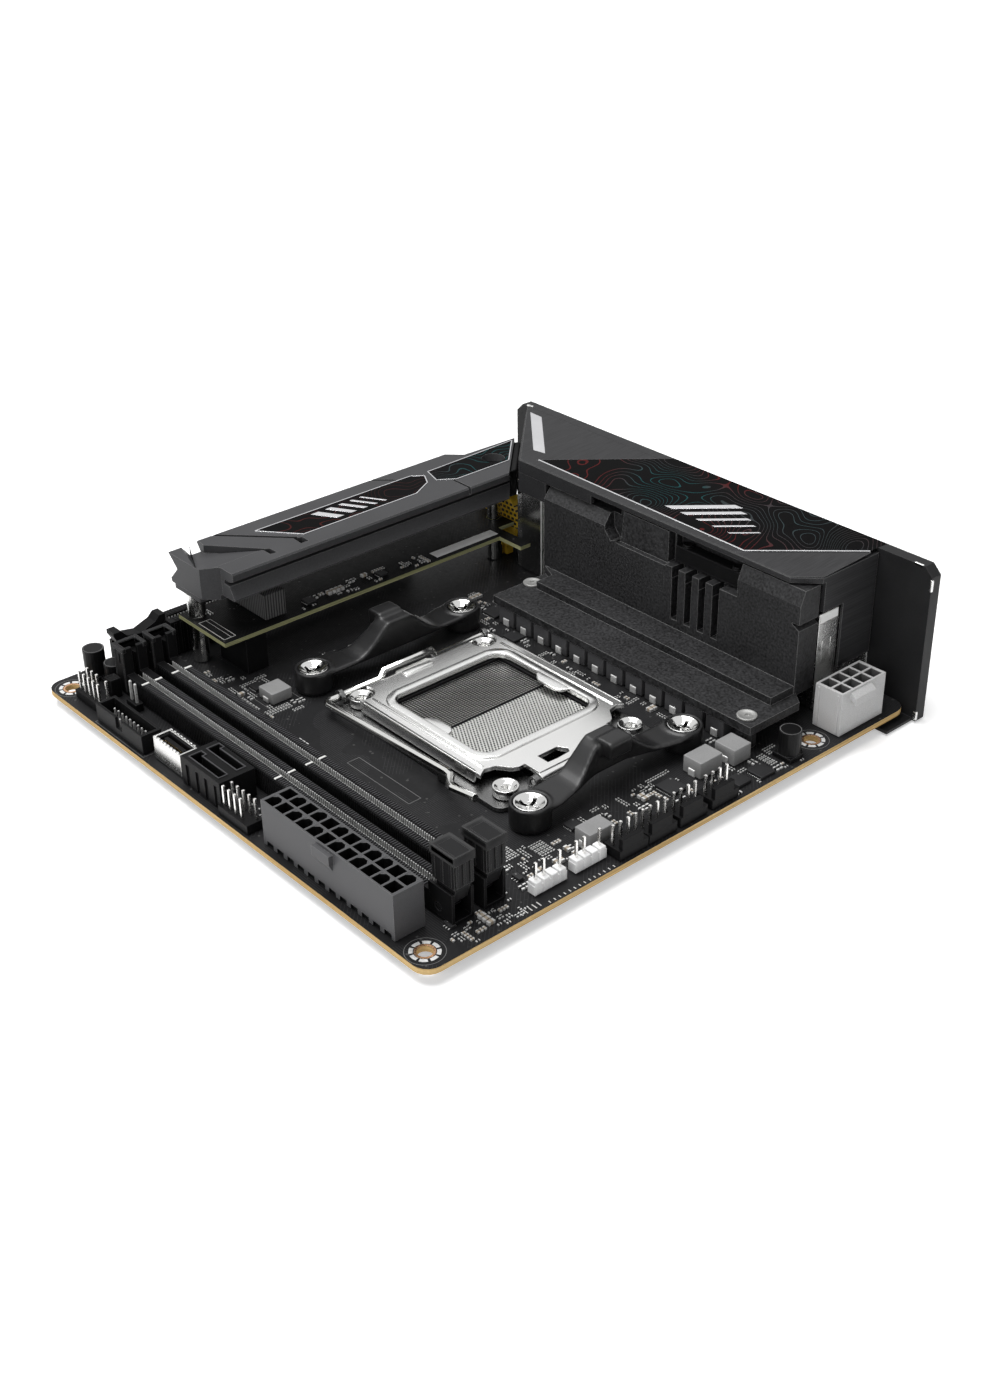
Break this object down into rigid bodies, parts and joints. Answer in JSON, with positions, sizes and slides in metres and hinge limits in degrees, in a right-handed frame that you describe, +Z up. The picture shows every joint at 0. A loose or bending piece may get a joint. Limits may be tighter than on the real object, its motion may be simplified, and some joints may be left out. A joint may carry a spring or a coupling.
{
  "type": "desktop computer motherboard",
  "caption": "Square mini-ITX motherboard: socket with hinged load plate and lever, cooler brackets, heatsinks, memory and card slots with latches, power headers, I/O shield.",
  "frame": {"origin": "centre of the bounding box's underside, on the surface the board lies on", "axes": "+Z up out of the component side; +Y towards the rear I/O shield; +X towards the edge with the fan headers, so the card slot is at -X and the memory slots at -Y"},
  "size_m": [0.1726, 0.174, 0.0463],
  "materials": {
    "solder_mask": "matte black solder mask",
    "black_steel": "black coated sheet steel",
    "nickel_steel": "bright nickel plate",
    "tin_shell": "tinned steel",
    "black_plastic": "moulded black",
    "grey_plastic": "moulded grey",
    "white_plastic": "moulded white",
    "cover_plastic": "dark hairline and gloss",
    "charcoal_aluminium": "charcoal anodised, fine blasted",
    "can_aluminium": "bright can",
    "cell_wrap": "yellow and black wrap"
  },
  "bodies": {
    "board": {"main_pcb": "solder_mask", "m2_riser_board": "solder_mask", "socket_backplate": "black_steel", "io_shield": "black_steel", "socket_frame": "nickel_steel", "riser_standoff_front": "nickel_steel", "heatsink_standoff": "nickel_steel", "riser_standoff_rear": "nickel_steel", "socket_screw_1": "tin_shell", "socket_screw_2": "tin_shell", "socket_screw_3": "tin_shell", "socket_screw_4": "tin_shell", "bracket_screw_1": "tin_shell", "bracket_screw_2": "tin_shell", "bracket_screw_3": "tin_shell", "bracket_screw_4": "tin_shell", "heatsink_screw_1": "tin_shell", "heatsink_screw_2": "tin_shell", "m2_heatsink_screw": "tin_shell", "lan_usb_stack": "tin_shell", "usb_stack_1": "tin_shell", "usb_stack_2": "tin_shell", "antenna_module": "tin_shell", "usb_c_header": "tin_shell", "socket_body": "black_plastic", "cooler_bracket_left": "black_plastic", "cooler_bracket_right": "black_plastic", "hdmi_button_block": "black_plastic", "audio_jack_block": "black_plastic", "riser_connector": "black_plastic", "m2_slot": "black_plastic", "pcie_slot": "black_plastic", "dimm_slot_1": "black_plastic", "dimm_slot_2": "black_plastic", "atx_power_connector": "black_plastic", "usb_box_header": "black_plastic", "sata_port_pair": "black_plastic", "front_panel_header": "black_plastic", "front_audio_header": "black_plastic", "fan_header_1": "black_plastic", "fan_header_2": "black_plastic", "fan_header_3": "black_plastic", "fan_header_4": "black_plastic", "cpu_power_connector": "grey_plastic", "light_header_1": "white_plastic", "light_header_2": "white_plastic", "io_cover": "cover_plastic", "vrm_heatsink": "charcoal_aluminium", "m2_heatsink": "charcoal_aluminium", "can_capacitor_1": "can_aluminium", "can_capacitor_2": "can_aluminium", "can_capacitor_3": "can_aluminium", "coin_cell": "cell_wrap"},
    "load_plate": {"socket_load_plate": "nickel_steel"},
    "lever": {"socket_lever": "nickel_steel"},
    "memory_latch_1": {"dimm_latch_1": "black_plastic"},
    "memory_latch_2": {"dimm_latch_2": "black_plastic"},
    "card_latch": {"pcie_latch": "black_plastic"},
    "firmware_key": {"firmware_button": "black_plastic"},
    "reset_key": {"reset_button": "black_plastic"}
  },
  "joints": [
    {"name": "load_plate_hinge", "type": "hinge", "parent": "board", "child": "load_plate", "pos_m": [0.0463, -0.0049, 0.00704], "axis": [0, 1, 0], "range_deg": [0, 95]},
    {"name": "lever_turn", "type": "hinge", "parent": "board", "child": "lever", "pos_m": [-0.0203, -0.0375, 0.00774], "axis": [0, -1, 0], "range_deg": [0, 110]},
    {"name": "memory_latch_1_pivot", "type": "hinge", "parent": "board", "child": "memory_latch_1", "pos_m": [0.0702, -0.0688, 0.00764], "axis": [0, 1, 0], "range_deg": [0, 25]},
    {"name": "memory_latch_2_pivot", "type": "hinge", "parent": "board", "child": "memory_latch_2", "pos_m": [0.0702, -0.0592, 0.00764], "axis": [0, 1, 0], "range_deg": [0, 25]},
    {"name": "card_latch_pivot", "type": "hinge", "parent": "board", "child": "card_latch", "pos_m": [-0.0793, -0.064, 0.01164], "axis": [1, 0, 0], "range_deg": [0, 15]},
    {"name": "firmware_press", "type": "slide", "parent": "board", "child": "firmware_key", "axis": [0, -1, 0], "range_m": [0, 0.001], "stiffness_N_per_m": 400},
    {"name": "reset_press", "type": "slide", "parent": "board", "child": "reset_key", "axis": [0, -1, 0], "range_m": [0, 0.001], "stiffness_N_per_m": 400}
  ]
}
